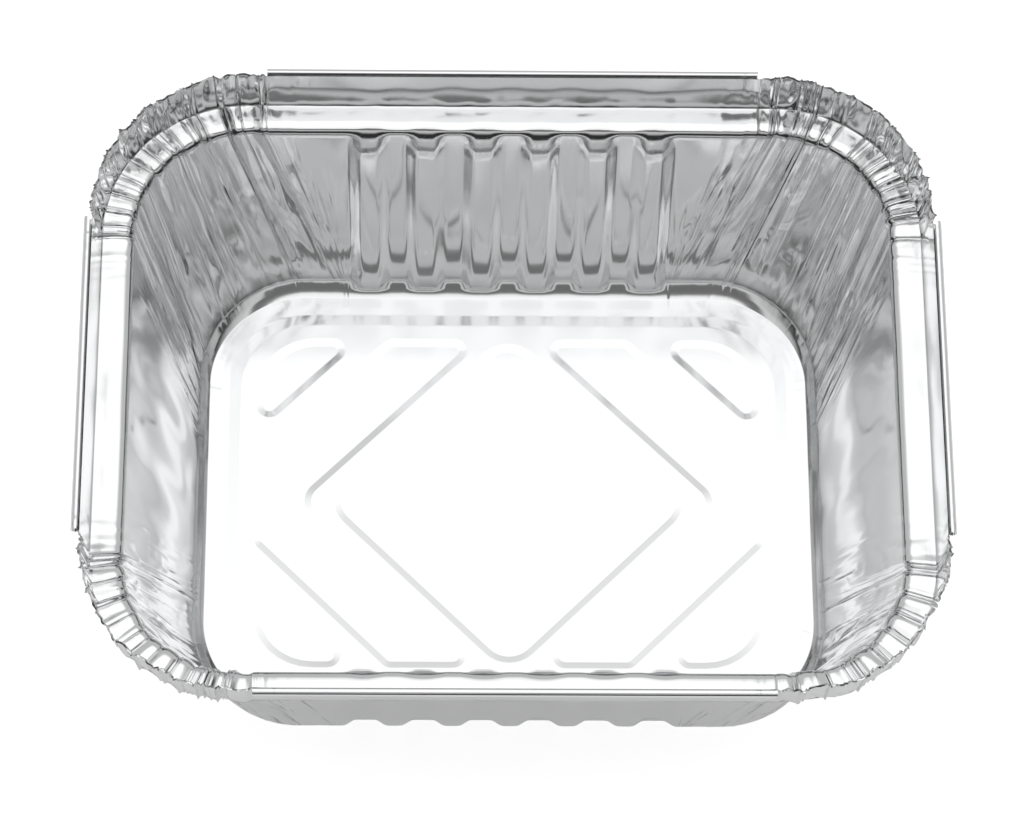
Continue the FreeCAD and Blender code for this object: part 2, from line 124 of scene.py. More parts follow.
# %% Section rows
BAND_START = 2.0
BEND_RADII = (0.3, 0.6, 1.5, 0.3)
STRETCH_SHARES = (
    (0.0, 0.6),
    (0.31, 0.53, 0.6, 0.82),
    (0.07, 0.17, 0.29, 0.42, 0.55, 0.68, 0.8, 0.88, 0.93, 0.96, 0.985),
    (0.25, 0.5, 0.6, 0.8),
    (0.2, 0.4, 0.6, 0.8, 1.0),
)
CHAMFER = 1
SHELF_SAG = 0.1
SHELF_BREAK = 0.31
DROOP_WIDTH = 2.6
DROOP = 0.17


def chamfer_sag(x, base, shelf):
    """How far the chamfer hangs below a straight line at a distance from the tray's middle."""
    share = (x - base) / shelf
    return SHELF_SAG * min(share / SHELF_BREAK, (1 - share) / (1 - SHELF_BREAK))


def ledge_droop(row, mouth):
    """How far the ledge hangs down at this row; the upstand makes up for it towards its top."""
    droop = 0.0
    if row.x > mouth:
        droop = DROOP * min(max((row.x - mouth - LEDGE_WIDTH + DROOP_WIDTH) / DROOP_WIDTH, 0.0), 1.0)
    if row.y - droop > LEDGE_HEIGHT:
        droop -= DROOP * (row.y - droop - LEDGE_HEIGHT) / UPSTAND_HEIGHT
    return droop


def section(base, shelf, run):
    """Rows of the section of one side, as distance from the tray's middle and height."""
    mouth = base + shelf + run
    corners = [
        (base - BAND_START, 0.0),
        (base, 0.0),
        (base + shelf, SHELF_RISE),
        (mouth, LEDGE_HEIGHT),
        (mouth + LEDGE_WIDTH, LEDGE_HEIGHT),
        (mouth + LEDGE_WIDTH + UPSTAND_LEAN, LEDGE_HEIGHT + UPSTAND_HEIGHT),
    ]
    rows = []
    for place in range(len(corners) - 1):
        near, far = Vector(corners[place]), Vector(corners[place + 1])
        start = rows[-1] if rows else near
        bent = None
        if place + 2 < len(corners):
            bent = bend(corners[place], corners[place + 1], corners[place + 2], BEND_RADII[place])
            far = bent[0]
        stretch = [start.lerp(far, share) for share in STRETCH_SHARES[place]]
        if place == CHAMFER:
            for row in stretch:
                row.y -= chamfer_sag(row.x, base, shelf)
        rows += stretch
        if bent:
            rows += bent
    for row in rows:
        row.y -= ledge_droop(row, mouth)
    return rows


END_ROWS = section(BASE_X, END_SHELF, END_WALL_RUN)
SIDE_ROWS = section(BASE_Y, SIDE_SHELF, SIDE_WALL_RUN)
ROWS = len(END_ROWS)
print("rows", ROWS)


def row_directions(rows):
    """Outward normal at each row, in the plane of the section."""
    found = []
    for place in range(len(rows)):
        along = rows[min(place + 1, len(rows) - 1)] - rows[max(place - 1, 0)]
        along.normalize()
        found.append(Vector((along.y, -along.x)))
    return found


END_NORMALS = row_directions(END_ROWS)
SIDE_NORMALS = row_directions(SIDE_ROWS)
print("section from", tuple(END_ROWS[0]), "to", tuple(END_ROWS[-1]), "mm")

# %% [markdown]
# Every row is a ring round the tray: four flat sides and four corners. The middle of each corner's arc
# slides outwards from the base to the mouth, because the base is smaller than the mouth.

# %% Soft steps
ROUNDING = 0.15


def smooth(value, start=0.0, end=1.0):
    """Smooth step from 0 at start to 1 at end."""
    share = min(max((value - start) / (end - start), 0.0), 1.0)
    return share * share * (3 - 2 * share)


def ramp(value, start, end, rounding=ROUNDING):
    """Straight ramp from 0 at start to 1 at end, with both its ends rounded off."""
    share = (value - start) / (end - start)
    if share <= -rounding:
        return 0.0
    if share < rounding:
        return (share + rounding) ** 2 / (4 * rounding)
    if share <= 1 - rounding:
        return share
    if share < 1 + rounding:
        return 1 - (1 + rounding - share) ** 2 / (4 * rounding)
    return 1.0


print("half way up a ramp", ramp(0.5, 0, 1), "and up a smooth step", smooth(0.5))

# %% Rings
CORNER_FOOT_SPREAD = 6.0
FLAT_FOOT_X = BASE_X - BASE_CORNER_RADIUS - CORNER_FOOT_SPREAD
FLAT_FOOT_Y = BASE_Y - BASE_CORNER_RADIUS - CORNER_FOOT_SPREAD
UNREST_SCALE = 0.32
UNREST_SLOW = 0.12
UNREST_QUICK = 0.08
RIM_Z = LEDGE_HEIGHT + UPSTAND_HEIGHT
LEDGE_ROW = ROWS - len(STRETCH_SHARES[-1]) - BEND_ROWS - 1


class Ring:
    """One row of the tray, with all that the columns need to find their places on it."""

    def __init__(self, row):
        self.half_x, z = END_ROWS[row]
        self.half_y, self.z_side = SIDE_ROWS[row]
        self.z_end = z
        self.rise = min(max(z / LEDGE_HEIGHT, 0.0), 1.0)
        self.beyond = max(self.half_x - MOUTH_X, 0.0)
        self.middle_x = self.blend(BASE_X - BASE_CORNER_RADIUS, MOUTH_X - MOUTH_CORNER_RADIUS)
        self.middle_y = self.blend(BASE_Y - BASE_CORNER_RADIUS, MOUTH_Y - MOUTH_CORNER_RADIUS)
        self.flat_x = self.blend(FLAT_FOOT_X, CURL_HALF_LONG)
        self.flat_y = self.blend(FLAT_FOOT_Y, CURL_HALF_SHORT)
        self.radius_x = self.half_x - self.middle_x
        self.radius_y = self.half_y - self.middle_y
        self.arc = math.pi / 2 * (self.radius_x + self.radius_y) / 2
        self.start = self.middle_x - self.flat_x
        self.length = self.start + self.arc + self.middle_y - self.flat_y
        self.rim = smooth(z, LEDGE_HEIGHT, RIM_Z)
        self.end_normal = END_NORMALS[row]
        self.side_normal = SIDE_NORMALS[row]

    def unrest(self, x, y):
        """Small ups and downs of the ledge's outer edge, where the foil was gripped."""
        outer = smooth(self.beyond, LEDGE_WIDTH - DROOP_WIDTH - 0.6, LEDGE_WIDTH - 1.0) * (1 - self.rim)
        place = Vector((x, y, 0)) * UNREST_SCALE
        return outer * (UNREST_SLOW * noise.noise(place) + UNREST_QUICK * noise.noise(place * 2.3))

    def blend(self, foot, mouth):
        return foot + (mouth - foot) * self.rise

    def corner(self, along):
        """Plan point and outward direction at a length along the corner, from the long side on."""
        if along <= self.start:
            return self.flat_x + along, self.half_y, 0.0, 1.0, 0.0
        along -= self.start
        if along >= self.arc:
            return self.half_x, self.middle_y - (along - self.arc), 1.0, 0.0, 1.0
        angle = along / self.arc * math.pi / 2
        x = self.middle_x + self.radius_x * math.sin(angle)
        y = self.middle_y + self.radius_y * math.cos(angle)
        return x, y, math.sin(angle), math.cos(angle), along / self.arc

    def placed(self, x, y, out_x, out_y, turn, push):
        """Point in space, pushed out of the foil's plane."""
        normal = self.side_normal.lerp(self.end_normal, smooth(turn))
        z = self.z_side + (self.z_end - self.z_side) * smooth(turn)
        z += self.unrest(x, y)
        return Vector((x + out_x * normal.x * push, y + out_y * normal.x * push, z + normal.y * push))


RINGS = [Ring(row) for row in range(ROWS)]
LEDGE_RING = RINGS[LEDGE_ROW]
print("rings", len(RINGS), "with corners", round(LEDGE_RING.length, 1), "mm long at the ledge's outer edge")

# %% [markdown]
# A corner's pleats aren't even. A few broad facets lie between clusters of narrow folds, and each fold
# runs from the rim over the ledge and down the wall, where it dies out at its own height. So a corner is
# drawn as a list of folds at random places, and the columns of the blank follow those folds. That keeps
# every crease sharp, because it runs along the mesh's own edges.

# %% Folds of one corner
FOLD_STEPS = (-1.0, -0.55, -0.18, 0.18, 0.55, 1.0)
FOLD_HEIGHTS = (0.0, 0.35, 1.0, 0.9, 0.3, 0.0)


class Fold:
    """One fold: its place, width, height, and how far it leans and reaches down the wall."""

    def __init__(self, chance, place):
        self.place = place
        self.width = chance.uniform(0.16, 0.34)
        self.height = chance.uniform(0.18, 0.5) * chance.choice((1, 1, -1))
        self.offset = chance.uniform(-0.34, 0.34)
        self.ends = chance.uniform(-0.2, 0.7)
        self.lean = chance.uniform(-0.3, 0.3)
        self.wave = chance.uniform(0, 6.28)
        self.wander = 0.12

    def at(self, ring):
        """Length along the corner at which this fold crosses the ring."""
        wander = self.wander * math.sin(self.wave + 5 * ring.rise) * (1 - ring.rise)
        return (self.place + self.lean * (1 - ring.rise) + wander) / LEDGE_RING.length * ring.length


def corner_folds(seed):
    """Folds in clusters, with broad gaps between the clusters."""
    chance = random.Random(seed)
    folds = []
    place = 0.5
    while place < LEDGE_RING.length - 0.6:
        folds.append(Fold(chance, place))
        if chance.random() < 0.5:
            place += chance.uniform(0.75, 1.15)
        else:
            place += chance.uniform(1.9, 4.2)
    return folds


print("a fold is", FOLD_STEPS, "half widths across, with heights", FOLD_HEIGHTS)

# %% [markdown]
# Next come the columns of the blank. A fold takes six of them, across its crest, and the facets between
# two folds take as many as they need for a smooth curve. Each facet is a little fuller or flatter than
# the arc that the tool drew, as foil is when it is free to choose.

# %% Columns of the blank
COLUMN_GAP = 0.56
WIDEST_BULGE = 3.0
FLATTENED = 0.8


class Column:
    """One column of the blank in a corner, on a fold or between two of them."""

    def __init__(self, corner, fold, step=None, share=0.0, facet=0.0):
        self.corner = corner
        self.fold = fold
        self.step = step
        self.share = share
        self.facet = facet

    def on_fold(self, ring):
        """Length along the corner and push, for a column on a fold."""
        fold = self.corner.folds[self.fold]
        along = fold.at(ring) + FOLD_STEPS[self.step] * fold.width
        push = FOLD_HEIGHTS[self.step] * fold.height * self.corner.strength(fold, ring)
        return along, push + fold.offset * self.corner.spread(ring)

    def between_folds(self, ring):
        """Length along the corner and push, for a column on the facet between two folds."""
        folds = self.corner.folds
        start, end, start_push, end_push = 0.0, ring.length, 0.0, 0.0
        if self.fold >= 0:
            before = folds[self.fold]
            start = before.at(ring) + before.width
            start_push = before.offset * self.corner.spread(ring)
        if self.fold + 1 < len(folds):
            after = folds[self.fold + 1]
            end = after.at(ring) - after.width
            end_push = after.offset * self.corner.spread(ring)
        along = start + (end - start) * self.share
        push = start_push + (end_push - start_push) * self.share
        bulge = 4 * self.share * (1 - self.share)
        gap = end - start
        sagitta = gap * gap / (4 * (ring.radius_x + ring.radius_y))
        fuller = self.facet * min(gap, WIDEST_BULGE) * self.corner.spread(ring)
        push += bulge * (fuller - FLATTENED * sagitta)
        return along, push


print("columns on a fold", len(FOLD_STEPS), "and every", COLUMN_GAP, "mm between them")

# %% Corners
RIM_CRIMP = 0.42
STEADY_EDGE = 1.2
FLAT_BELOW = 0.5
FREE_ABOVE = 3.0


class Corner:
    """One corner of the tray, with its own folds, seen as the corner at +X +Y and then mirrored."""

    def __init__(self, sign_x, sign_y, seed):
        self.sign_x = sign_x
        self.sign_y = sign_y
        self.seed = seed
        self.folds = corner_folds(seed)
        chance = random.Random(seed + 100)
        self.columns = []
        for fold in range(-1, len(self.folds)):
            if fold >= 0:
                self.columns += [Column(self, fold, step) for step in range(len(FOLD_STEPS))]
            start = self.folds[fold].place if fold >= 0 else 0.0
            last = fold + 1 == len(self.folds)
            end = LEDGE_RING.length if last else self.folds[fold + 1].place
            count = max(int((end - start - 0.5) / COLUMN_GAP), 1)
            facet = chance.uniform(-0.1, 0.1)
            steps = range(1, count + 1)
            self.columns += [Column(self, fold, None, step / (count + 1), facet) for step in steps]

    def spread(self, ring):
        """How strongly the corner is gathered at a ring: not at all at the base's edge."""
        return smooth(ring.rise, 0.02, 0.55)

    def strength(self, fold, ring):
        return smooth(ring.rise, fold.ends, fold.ends + 0.3) * (1 - 0.2 * ring.rim)

    def fine(self, along):
        """Fine crimping of the upstand, which the rim's squeeze adds."""
        first = noise.noise(Vector((along * 1.15, self.seed, 0.3)))
        second = noise.noise(Vector((along * 2.6, self.seed, 7.7)))
        return 0.75 * first + 0.4 * second

    def point(self, column, ring):
        along, push = column.between_folds(ring) if column.step is None else column.on_fold(ring)
        x, y, out_x, out_y, turn = ring.corner(along)
        edge = min(along, ring.length - along)
        push += RIM_CRIMP * self.fine(along) * ring.rim
        push += soft(x * self.sign_x, y * self.sign_y, ring) * smooth(edge, 0.0, FREE_ABOVE)
        push *= smooth(edge, 0.0, STEADY_EDGE) * smooth(ring.z_end, FLAT_BELOW, FREE_ABOVE)
        made = ring.placed(x, y, out_x, out_y, turn, push)
        return Vector((made.x * self.sign_x, made.y * self.sign_y, made.z))


def round_noise(angle, waves, height):
    """Noise that goes once round the tray without a seam."""
    return noise.noise(Vector((waves * math.cos(angle), waves * math.sin(angle), height)))


def soft(x, y, ring):
    """Soft unevenness of the walls, stretched along the way that the foil was drawn."""
    if ring.beyond > 0:
        return 0.0
    angle = math.atan2(y / BASE_Y, x / BASE_X)
    slow = round_noise(angle, 9, ring.rise * 1.3)
    quick = round_noise(angle, 24, ring.rise * 1.8 + 5)
    return (0.28 * slow + 0.14 * quick) * smooth(ring.rise, 0.0, 0.3) * smooth(ring.rise, 1.0, 0.8)


CORNERS = {
    (1, 1): Corner(1, 1, 21),
    (-1, 1): Corner(-1, 1, 34),
    (1, -1): Corner(1, -1, 47),
    (-1, -1): Corner(-1, -1, 58),
}
print("folds", {key: len(corner.folds) for key, corner in CORNERS.items()})

# %% [markdown]
# The long walls carry six ribs each, pressed inwards. They run straight up the wall, and at both ends
# they run out into it. The short walls have none. A function says how deep the foil is pressed at each
# place, so the columns only have to lie where the slope changes: either side of each crest and foot.

# %% Ribs and flat sides
RIB_COUNT = 6
RIB_PITCH = 10.0
RIB_HALF_CREST = 1.5
RIB_HALF_FOOT = 3.6
RIB_DEPTH = 1.4
RIB_RUN_OUT = 3.0
RIB_FOOT = 0.72
RIB_TOP_GAP = 0.9
RIB_BESIDE = 0.35
LEDGE_WAVE = 0.4
half_steps = [RIB_HALF_CREST + side for side in (-RIB_BESIDE, 0, RIB_BESIDE)]
half_steps.append((RIB_HALF_CREST + RIB_HALF_FOOT) / 2)
half_steps += [RIB_HALF_FOOT + side for side in (-RIB_BESIDE, 0, RIB_BESIDE)]
RIB_STEPS = [-step for step in half_steps[::-1]] + [0.0] + half_steps
RIB_REACH = RIB_PITCH * (RIB_COUNT - 1) / 2
RIB_LAND = RIB_REACH + RIB_STEPS[-1]
END_COLUMNS = 7
SHORT_COLUMNS = 26


def rib_push(x, ring):
    """How far the ribs press the long wall inwards at a place along it."""
    nearest = (round(x / RIB_PITCH - 0.5) + 0.5) * RIB_PITCH
    nearest = min(max(nearest, -RIB_REACH), RIB_REACH)
    across = 1 - ramp(abs(x - nearest), RIB_HALF_CREST, RIB_HALF_FOOT, 0.2)
    foot = ramp(ring.z_side, RIB_FOOT, SHELF_RISE)
    rib_top = LEDGE_HEIGHT - RIB_TOP_GAP
    top = ramp(ring.z_side, rib_top, rib_top - RIB_RUN_OUT, 0.3)
    return -RIB_DEPTH * across * foot * top


def long_side_places():
    """Columns of a long side: fixed places across the ribs, and shares of the stretch either side."""
    shares = [column / (END_COLUMNS + 1) for column in range(1, END_COLUMNS + 2)]
    ribs = []
    for rib in range(RIB_COUNT):
        middle = rib * RIB_PITCH - RIB_REACH
        ribs += [("rib", middle + step) for step in RIB_STEPS]
    return [("left", share) for share in shares[::-1]] + ribs + [("right", share) for share in shares]


def long_side_point(place, ring, sign):
    """Point of a long side on a ring, for one of its column places."""
    kind, value = place
    x = value
    if kind != "rib":
        x = RIB_LAND + (ring.flat_x - RIB_LAND) * value
        x = -x if kind == "left" else x
    fade = smooth(ring.flat_x - abs(x), 0.0, 4.0)
    push = soft(x, sign * ring.half_y, ring) * fade
    ledge_wave = -LEDGE_WAVE * math.cos(2 * math.pi * x / RIB_PITCH) * smooth(RIB_LAND - abs(x), 0.0, 4.0)
    near_mouth = smooth(abs(ring.z_side - LEDGE_HEIGHT), 1.2, 0.0) * smooth(ring.beyond, 2.5, 0.0)
    y = ring.half_y + ledge_wave * near_mouth + rib_push(x, ring)
    made = ring.placed(x, y, 0.0, 1.0, 0.0, push)
    return Vector((made.x, made.y * sign, made.z))


def short_side_point(share, ring, sign):
    """Point of a short side on a ring, at a share of the side's length."""
    y = (2 * share - 1) * ring.flat_y
    push = soft(sign * ring.half_x, y, ring) * smooth(ring.flat_y - abs(y), 0.0, 4.0)
    made = ring.placed(ring.half_x, y, 1.0, 0.0, 1.0, push)
    return Vector((made.x * sign, made.y, made.z))


print("columns on a long side", len(long_side_places()), "and on a short one", SHORT_COLUMNS + 1)

# %% [markdown]
# Now the blank. Its columns go once round the tray, so we list them in that order, as functions that
# find their own point on a ring.

# %% Columns in order
def walk_round():
    """The columns in order round the tray, each as a function of the ring."""
    columns = []

    def add_corner(key, forwards):
        corner = CORNERS[key]
        for column in corner.columns if forwards else corner.columns[::-1]:
            columns.append(lambda ring, c=corner, k=column: c.point(k, ring))

    def add_long(sign):
        places = long_side_places()
        for place in places if sign > 0 else places[::-1]:
            columns.append(lambda ring, p=place, s=sign: long_side_point(p, ring, s))

    def add_short(sign):
        shares = [step / SHORT_COLUMNS for step in range(SHORT_COLUMNS + 1)]
        for share in shares[::-1] if sign > 0 else shares:
            columns.append(lambda ring, p=share, s=sign: short_side_point(p, ring, s))

    add_long(1)
    add_corner((1, 1), True)
    add_short(1)
    add_corner((1, -1), False)
    add_long(-1)
    add_corner((-1, -1), True)
    add_short(-1)
    add_corner((-1, 1), False)
    return columns


COLUMNS = walk_round()
print("columns round the tray", len(COLUMNS))

# %% [markdown]
# An operator works on whatever is selected, so each step starts by clearing the selection and picking
# its own object. Two small helpers do that.

# %% Selection helpers
def deselect():
    """Leave edit mode and select nothing."""
    if bpy.context.object and bpy.context.object.mode != "OBJECT":
        bpy.ops.object.mode_set(mode="OBJECT")
    bpy.ops.object.select_all(action="DESELECT")


def activate(obj):
    """Select this object alone and make it the active one."""
    deselect()
    obj.select_set(True)
    bpy.context.view_layer.objects.active = obj


def edit(obj):
    """Open this object alone in edit mode."""
    activate(obj)
    bpy.ops.object.mode_set(mode="EDIT")


deselect()
print("objects selected", len(bpy.context.selected_objects))

# %% [markdown]
# The sheet before the press is one grid primitive, with a vertex for each column and row. The press
# moves each vertex to its place on the tray. The grid's last column lands on the first one.

# %% Press the blank
bpy.ops.mesh.primitive_grid_add(x_subdivisions=len(COLUMNS), y_subdivisions=ROWS - 1, size=1)
tray = bpy.context.object
tray.name = "foil_tray_sheet"
pressed = [[find(ring) * MM for ring in RINGS] for find in COLUMNS]
pressed.append(pressed[0])
blank = [
    (round((vertex.co.x + 0.5) * len(COLUMNS)), round((vertex.co.y + 0.5) * (ROWS - 1)))
    for vertex in tray.data.vertices
]
for vertex, (column, row) in zip(tray.data.vertices, blank):
    vertex.co = pressed[column][row]
print("columns", len(COLUMNS), "rows", ROWS)

# %% [markdown]
# The foil's own marks, such as the mill's grain and the small creases, follow the blank and not the
# room. So the UV map holds each place on the flat blank, in metres: u runs round the rim and v up the
# section. A second map, the attribute gather, says how much a place lies in a corner.

# %% Maps on the blank
GATHER_REACH = 10.0
GATHER_PAST = 3.0
GATHER_FOOT = (0.2, 4.0)


def gathered(ring, place):
    """How much a place lies in a corner, where the foil is gathered: 0 on the flats, 1 in the corner."""
    by_x = smooth(abs(place.x) / MM, ring.flat_x - GATHER_REACH, ring.flat_x + GATHER_PAST)
    by_y = smooth(abs(place.y) / MM, ring.flat_y - GATHER_REACH, ring.flat_y + GATHER_PAST)
    return min(by_x, by_y)


round_lengths = [0.0]
for column in range(len(COLUMNS)):
    step = (pressed[column + 1][LEDGE_ROW] - pressed[column][LEDGE_ROW]).length
    round_lengths.append(round_lengths[-1] + step)
up_lengths = [0.0]
for row in range(ROWS - 1):
    up_lengths.append(up_lengths[-1] + (END_ROWS[row + 1] - END_ROWS[row]).length * MM)
flat_map = tray.data.uv_layers[0]
flat_map.name = "blank"
for loop in tray.data.loops:
    column, row = blank[loop.vertex_index]
    flat_map.data[loop.index].uv = (round_lengths[column], up_lengths[row])
gather = tray.data.attributes.new("gather", "FLOAT", "POINT")
for vertex, (column, row) in zip(tray.data.vertices, blank):
    foot = smooth(vertex.co.z / MM, *GATHER_FOOT)
    gather.data[vertex.index].value = foot * gathered(RINGS[row], vertex.co)
print("blank", round(round_lengths[-1], 4), "m round by", round(up_lengths[-1], 4), "m up")

# %% [markdown]
# Where the first and last columns meet, their vertices are merged, so the wall is one closed band.

# %% Close the band
DOUBLE = 0.001 * MM
edit(tray)
bpy.ops.mesh.select_all(action="SELECT")
bpy.ops.mesh.remove_doubles(threshold=DOUBLE)
bpy.ops.object.mode_set(mode="OBJECT")
print("faces of the walls, ledge and upstand", len(tray.data.polygons))

# %% [markdown]
# The rim of each straight side is rolled outwards. Spin does just that: it sweeps the selected edges
# round an axis that runs along the side. The edges are picked by their place, as the free ones at the
# height of the rim, on the side that is rolled.

# %% Roll the rims
CURL_STEPS = 12
RIM_BELOW = 3.0
SIDE_MARGIN = 0.4


def select_rim(obj, wanted):
    """Select the boundary edges at rim height whose middles are wanted."""
    edit(obj)
    bpy.ops.mesh.select_all(action="DESELECT")
    bpy.ops.object.mode_set(mode="OBJECT")
    bpy.context.tool_settings.mesh_select_mode = (False, True, False)
    mesh = obj.data
    uses = {}
    for polygon in mesh.polygons:
        for key in polygon.edge_keys:
            uses[key] = uses.get(key, 0) + 1
    chosen = 0
    for edge in mesh.edges:
        a, b = (mesh.vertices[index].co / MM for index in edge.vertices)
        middle = (a + b) / 2
        if middle.z > RIM_Z - RIM_BELOW and uses[tuple(sorted(edge.vertices))] == 1 and wanted(middle):
            edge.select = True
            chosen += 1
    bpy.ops.object.mode_set(mode="EDIT")
    return chosen


def roll(obj, out_x, out_y):
    """Roll the rim of the side that faces this way."""
    half = CURL_HALF_LONG if out_y else CURL_HALF_SHORT
    rim_x, rim_y = END_ROWS[-1][0], SIDE_ROWS[-1][0]
    outward = Vector((out_x, out_y, 0.0))
    away = outward * math.cos(UPSTAND_LEAN_ANGLE) + Vector((0, 0, -math.sin(UPSTAND_LEAN_ANGLE)))
    rim = Vector((out_x * rim_x, out_y * rim_y, RIM_Z))
    centre = rim + away * CURL_RADIUS

    def on_side(middle):
        if out_y:
            return abs(middle.x) < half and middle.y * out_y > rim_y - SIDE_MARGIN
        return abs(middle.y) < half and middle.x * out_x > rim_x - SIDE_MARGIN

    chosen = select_rim(obj, on_side)
    axis = outward.cross(Vector((0, 0, -1)))
    bpy.ops.mesh.spin(
        steps=CURL_STEPS,
        angle=CURL_TURN,
        center=centre * MM,
        axis=axis,
    )
    bpy.ops.object.mode_set(mode="OBJECT")
    return chosen


for out_x, out_y in ((0, 1), (0, -1), (1, 0), (-1, 0)):
    print("rolled", out_x, out_y, "edges", roll(tray, out_x, out_y))

# %% [markdown]
# The corner's rim isn't rolled. It is extruded into a short lip and crushed, and because the two are
# made apart, each roll ends in an open tube, as on the real tray.

# %% Crush the corner lips
LIP_ROWS = 2
LIP_WIDTH = 0.45
LIP_FADE = 0.8
LIP_LIFT = 0.16


def away_from_rolls(place):
    """Direction out of the corner, and how far the place is from the nearest roll's end."""
    out = Vector((
        math.copysign(max(abs(place.x) - CURL_HALF_LONG, 0.0), place.x),
        math.copysign(max(abs(place.y) - CURL_HALF_SHORT, 0.0), place.y),
        0.0,
    ))
    return out.normalized(), min(abs(out.x), abs(out.y))


def crush_lips(obj):
    """Extrude the corner rims outwards into a short crumpled lip, which starts from nothing at the rolls."""

    def in_corner(middle):
        return abs(middle.x) > CURL_HALF_LONG and abs(middle.y) > CURL_HALF_SHORT

    chosen = select_rim(obj, in_corner)
    for row in range(1, LIP_ROWS + 1):
        bpy.ops.mesh.extrude_edges_move()
        bpy.ops.object.mode_set(mode="OBJECT")
        share = row / LIP_ROWS
        for vertex in obj.data.vertices:
            if not vertex.select:
                continue
            place = vertex.co / MM
            out, distance = away_from_rolls(place)
            fade = smooth(distance, 0.0, LIP_FADE)
            crush = 0.6 * noise.noise(Vector((place.x * 0.9, place.y * 0.9, 3.0 + row)))
            reach = (LIP_WIDTH / LIP_ROWS) * (0.75 + 0.6 * crush) * fade
            lift = (LIP_LIFT - 0.5 * (share - 0.5) + 0.35 * crush) * fade
            vertex.co = (place + out * reach + Vector((0, 0, lift))) * MM
        bpy.ops.object.mode_set(mode="EDIT")
    bpy.ops.mesh.select_all(action="SELECT")
    bpy.ops.mesh.remove_doubles(threshold=DOUBLE)
    bpy.ops.object.mode_set(mode="OBJECT")
    return chosen


print("lips", crush_lips(tray), "edges")

# %% [markdown]
# The base is embossed: a raised field with a diamond, two chevrons and four corner panels sunk into it.
# Each outline starts as a flat polygon with arcs for its corners. Insets with a little depth then give
# the pressed slope its soft ends. An outline drawn with tight corners would cross itself when it is
# inset, so each corner's radius is larger than the inset that follows.

# %% Outlines and pressed slopes
LAND = 0.2
CORNER_STEPS = 8
SLOPE_STEPS = ((0.1, 0.05), (0.8, 0.9), (0.1, 0.05))


def polygon(name, corners, z):
    """A flat face with each corner (x, y, radius) rounded."""
    points = []
    for place, (x, y, radius) in enumerate(corners):
        before = corners[place - 1][:2]
        after = corners[(place + 1) % len(corners)][:2]
        points += bend(before, (x, y), after, radius, CORNER_STEPS)
    deselect()
    bpy.ops.mesh.primitive_circle_add(vertices=len(points), radius=1, fill_type="NGON")
    obj = bpy.context.object
    obj.name = name
    for vertex, point in zip(obj.data.vertices, points):
        vertex.co = Vector((point.x, point.y, z)) * MM
    if obj.data.polygons[0].normal.z < 0:
        obj.data.flip_normals()
    return obj


def press(obj, run, rise):
    """Inset the face up a straight slope with soft ends, with a flat land before and after it."""
    bpy.context.tool_settings.mesh_select_mode = (False, False, True)
    edit(obj)
    bpy.ops.mesh.select_all(action="SELECT")
    bpy.ops.mesh.inset(thickness=LAND * MM, depth=0)
    for run_share, rise_share in SLOPE_STEPS:
        bpy.ops.mesh.inset(thickness=run_share * run * MM, depth=rise_share * rise * MM)
    bpy.ops.mesh.inset(thickness=LAND * MM, depth=0)
    bpy.ops.object.mode_set(mode="OBJECT")


print("slope steps", SLOPE_STEPS, "with", CORNER_STEPS, "steps round a corner")

# %% [markdown]
# The field comes first. Its outline is the base's own, set in by the flat band that the tray stands on.
# Its top face is taken out again, because the panels' outlines will cut it up.

# %% Raised field
BAND_WIDTH = 3.4
FIELD_SLOPE = 2.4
FIELD_RISE = 0.3
FIELD_EDGE = BAND_WIDTH - LAND
QUADRANTS = ((1, 1), (-1, 1), (-1, -1), (1, -1))

field_x, field_y = BASE_X - FIELD_EDGE, BASE_Y - FIELD_EDGE
field = polygon(
    "base_field",
    [(sx * field_x, sy * field_y, BASE_CORNER_RADIUS - FIELD_EDGE) for sx, sy in QUADRANTS],
    0.0,
)
press(field, FIELD_SLOPE, FIELD_RISE)
edit(field)
bpy.ops.mesh.delete(type="ONLY_FACE")
bpy.ops.object.mode_set(mode="OBJECT")
print("field", round(2 * field_x, 1), "x", round(2 * field_y, 1), "mm, raised", FIELD_RISE)

# %% [markdown]
# The panels follow from a few sizes of the press tool: how far they stay from the field's edge and how
# wide the ribs between them are. All slanting edges run at 45 degrees, so x + y is the same along each,
# and an outline is a handful of corners.

# %% Panel outlines
FRAME_RIB = 2.6
DIAMOND_STOP = 1.0
DIAMOND_ROUND = 6.0
DIAMOND_RIB = 1.8
CORNER_PANEL_LEG = 20.0
CORNER_PANEL_ROUND = 11.0
CORNER_BAR = 3.1
PANEL_ROUND = 2.4
DIAGONAL = math.sqrt(2)

reach_x = BASE_X - BAND_WIDTH - FIELD_SLOPE - FRAME_RIB + LAND
reach_y = BASE_Y - BAND_WIDTH - FIELD_SLOPE - FRAME_RIB + LAND
diamond = reach_y - DIAMOND_STOP + (DIAMOND_ROUND + LAND) * (DIAGONAL - 1)
inner = diamond + (DIAMOND_RIB - 2 * LAND) * DIAGONAL
corner_sum = reach_x + reach_y - CORNER_PANEL_LEG
outer = corner_sum - (CORNER_BAR - 2 * LAND) * DIAGONAL
small = PANEL_ROUND + LAND
large = DIAMOND_ROUND + LAND
diamond_corners = [(diamond * x, diamond * y, large) for x, y in ((1, 0), (0, 1), (-1, 0), (0, -1))]
chevron_corners = [
    (inner, 0, small),
    (inner - reach_y, -reach_y, small),
    (outer - reach_y, -reach_y, small),
    (reach_x, reach_x - outer, small),
    (reach_x, outer - reach_x, small),
    (outer - reach_y, reach_y, small),
    (inner - reach_y, reach_y, small),
]
triangle_corners = [
    (reach_x, corner_sum - reach_x, small),
    (reach_x, reach_y, CORNER_PANEL_ROUND),
    (corner_sum - reach_y, reach_y, small),
]
shapes = [("diamond", diamond_corners)]
